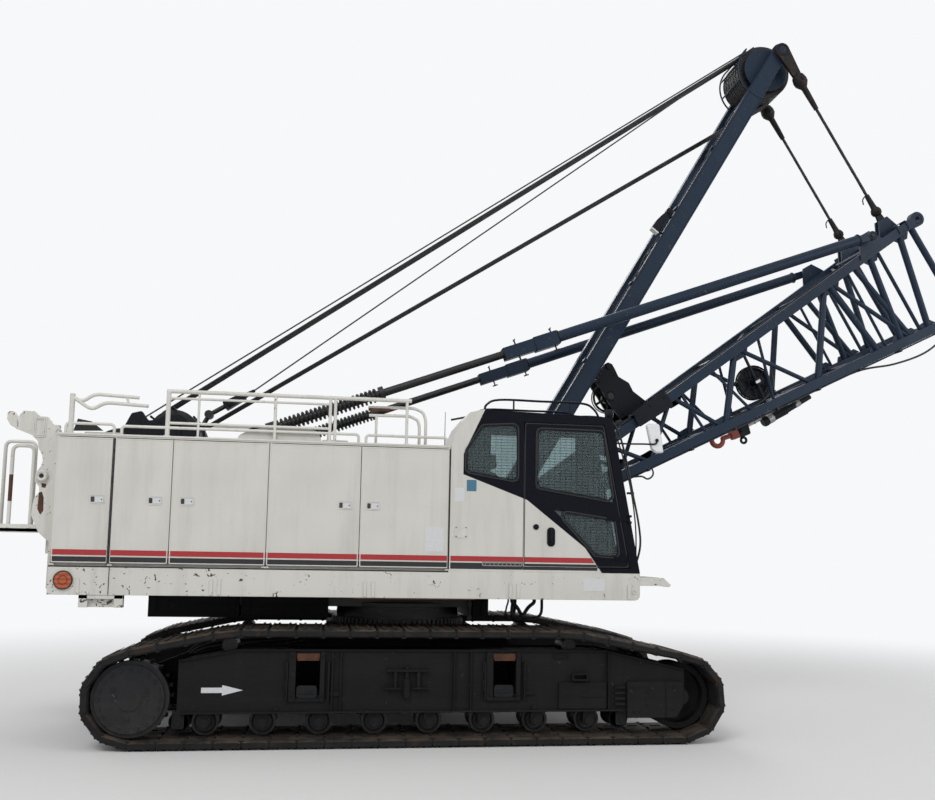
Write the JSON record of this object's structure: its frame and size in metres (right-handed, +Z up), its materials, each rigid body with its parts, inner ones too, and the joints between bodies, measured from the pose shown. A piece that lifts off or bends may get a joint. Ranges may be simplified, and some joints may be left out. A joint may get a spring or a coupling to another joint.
{
  "type": "crawler crane",
  "caption": "Crawler crane with a live mast, a lattice boom's base section, tubular backstops, a side cab and machinery house on two tracks.",
  "frame": {"origin": "middle of the bounding box's underside, on the ground between the tracks", "axes": "+X forward, towards the cab and the boom's tip, +Y to the machine's left, +Z up"},
  "size_m": [11.9562, 3.3, 8.9604],
  "materials": {
    "body_paint": "satin",
    "black_paint": "satin",
    "boom_paint": "satin",
    "frame_paint": "matte",
    "track_steel": "rough",
    "dark_steel": "satin",
    "rust_steel": "rough",
    "glass": "clear",
    "plastic": "matte",
    "lamp_plastic": "gloss",
    "hook_paint": "satin"
  },
  "bodies": {
    "base": {"carbody": "frame_paint", "slew_ring": "dark_steel", "side_frame_right": "frame_paint", "side_frame_left": "frame_paint", "track_right": "track_steel", "track_left": "track_steel", "final_drives": "frame_paint", "idlers": "dark_steel", "rollers": "dark_steel"},
    "upper": {"upper_frame": "body_paint", "counterweight_bracket": "body_paint", "rear_platform": "body_paint", "house": "body_paint", "engine": "dark_steel", "gantry": "boom_paint", "cab": "body_paint", "cab_glass": "glass", "cab_interior": "plastic", "guard_rails": "body_paint", "side_mirror": "body_paint", "lamps": "lamp_plastic", "tank_left": "body_paint"},
    "drum_front": {"drum_front": "dark_steel"},
    "drum_rear": {"drum_rear": "dark_steel"},
    "drum_boom": {"drum_boom": "dark_steel"},
    "gantry_sheaves": {"gantry_sheaves": "dark_steel"},
    "cab_door": {"cab_door": "black_paint", "door_glass": "glass"},
    "side_door_right_1": {"side_door_right_1": "body_paint"},
    "side_door_right_2": {"side_door_right_2": "body_paint"},
    "side_door_right_3": {"side_door_right_3": "body_paint"},
    "side_door_right_4": {"side_door_right_4": "body_paint"},
    "side_door_right_5": {"side_door_right_5": "body_paint"},
    "side_door_left_1": {"side_door_left_1": "body_paint"},
    "side_door_left_2": {"side_door_left_2": "body_paint"},
    "side_door_left_3": {"side_door_left_3": "body_paint"},
    "boom": {"boom": "boom_paint", "boom_deflector": "boom_paint", "cable_reel": "plastic", "hook": "hook_paint"},
    "mast": {"mast": "boom_paint"},
    "mast_sheaves": {"mast_sheaves": "dark_steel"},
    "pendants": {"pendants": "rust_steel"},
    "backstop_rods": {"backstop_rods": "dark_steel"},
    "backstop_tubes": {"backstop_tubes": "boom_paint"}
  },
  "joints": [
    {"name": "slew", "type": "hinge", "parent": "base", "child": "upper", "pos_m": [-1.48815, 0, 1.4], "axis": [0, 0, 1], "continuous": true},
    {"name": "drum_front_spin", "type": "hinge", "parent": "upper", "child": "drum_front", "pos_m": [-1.79815, 0, 2.42], "axis": [0, 1, 0], "continuous": true},
    {"name": "drum_rear_spin", "type": "hinge", "parent": "upper", "child": "drum_rear", "pos_m": [-2.80815, 0, 2.42], "axis": [0, 1, 0], "continuous": true},
    {"name": "drum_boom_spin", "type": "hinge", "parent": "upper", "child": "drum_boom", "pos_m": [-4.75815, 0, 3.06], "axis": [0, 1, 0], "continuous": true},
    {"name": "gantry_sheave_spin", "type": "hinge", "parent": "upper", "child": "gantry_sheaves", "pos_m": [-4.17815, 0, 3.35], "axis": [0, 1, 0], "continuous": true},
    {"name": "boom_luffing", "type": "hinge", "parent": "upper", "child": "boom", "pos_m": [0.22185, 0, 2.69], "axis": [0, -1, 0], "range_deg": [-15.3, 48.7]},
    {"name": "mast_tilt", "type": "hinge", "parent": "upper", "child": "mast", "pos_m": [-0.34815, 0, 2.35], "axis": [0, -1, 0], "range_deg": [-14.15, 44.37]},
    {"name": "mast_sheave_spin", "type": "hinge", "parent": "mast", "child": "mast_sheaves", "pos_m": [3.28186, 0, 8.60044], "axis": [0, 1, 0], "continuous": true},
    {"name": "pendant_swing", "type": "hinge", "parent": "mast", "child": "pendants", "pos_m": [3.44204, 0, 8.81023], "axis": [0, -1, 0], "range_deg": [-4.83, 1.72]},
    {"name": "backstop_tilt", "type": "hinge", "parent": "upper", "child": "backstop_rods", "pos_m": [-3.22815, 0, 3.34], "axis": [0, -1, 0], "range_deg": [-10.34, 32.25]},
    {"name": "backstop_slide", "type": "slide", "parent": "backstop_rods", "child": "backstop_tubes", "axis": [0.9373, 0, 0.3486], "range_m": [-1.973, 0.627]},
    {"name": "cab_door_hinge", "type": "hinge", "parent": "upper", "child": "cab_door", "pos_m": [0.96904, -1.514, 2.2], "axis": [0, 0, 1], "range_deg": [0, 90]},
    {"name": "side_door_right_1_hinge", "type": "hinge", "parent": "upper", "child": "side_door_right_1", "pos_m": [-5.16965, -1.493, 2.5], "axis": [0, 0, -1], "range_deg": [0, 90]},
    {"name": "side_door_right_2_hinge", "type": "hinge", "parent": "upper", "child": "side_door_right_2", "pos_m": [-4.59965, -1.493, 2.5], "axis": [0, 0, -1], "range_deg": [0, 90]},
    {"name": "side_door_right_3_hinge", "type": "hinge", "parent": "upper", "child": "side_door_right_3", "pos_m": [-3.03965, -1.493, 2.5], "axis": [0, 0, 1], "range_deg": [0, 90]},
    {"name": "side_door_right_4_hinge", "type": "hinge", "parent": "upper", "child": "side_door_right_4", "pos_m": [-3.00665, -1.493, 2.5], "axis": [0, 0, -1], "range_deg": [0, 90]},
    {"name": "side_door_right_5_hinge", "type": "hinge", "parent": "upper", "child": "side_door_right_5", "pos_m": [-1.08265, -1.493, 2.5], "axis": [0, 0, 1], "range_deg": [0, 90]},
    {"name": "side_door_left_1_hinge", "type": "hinge", "parent": "upper", "child": "side_door_left_1", "pos_m": [-5.16965, 1.493, 2.5], "axis": [0, 0, 1], "range_deg": [0, 90]},
    {"name": "side_door_left_2_hinge", "type": "hinge", "parent": "upper", "child": "side_door_left_2", "pos_m": [-4.00165, 1.493, 2.5], "axis": [0, 0, 1], "range_deg": [0, 90]},
    {"name": "side_door_left_3_hinge", "type": "hinge", "parent": "upper", "child": "side_door_left_3", "pos_m": [-1.08265, 1.493, 2.5], "axis": [0, 0, -1], "range_deg": [0, 90]}
  ],
  "couplings": [
    {"joint": "mast_tilt", "follows": "boom_luffing", "ratio": 0.905},
    {"joint": "pendant_swing", "follows": "boom_luffing", "ratio": -0.093},
    {"joint": "backstop_tilt", "follows": "boom_luffing", "ratio": 0.656},
    {"joint": "backstop_slide", "follows": "boom_luffing", "m_per_rad": -2.31}
  ]
}
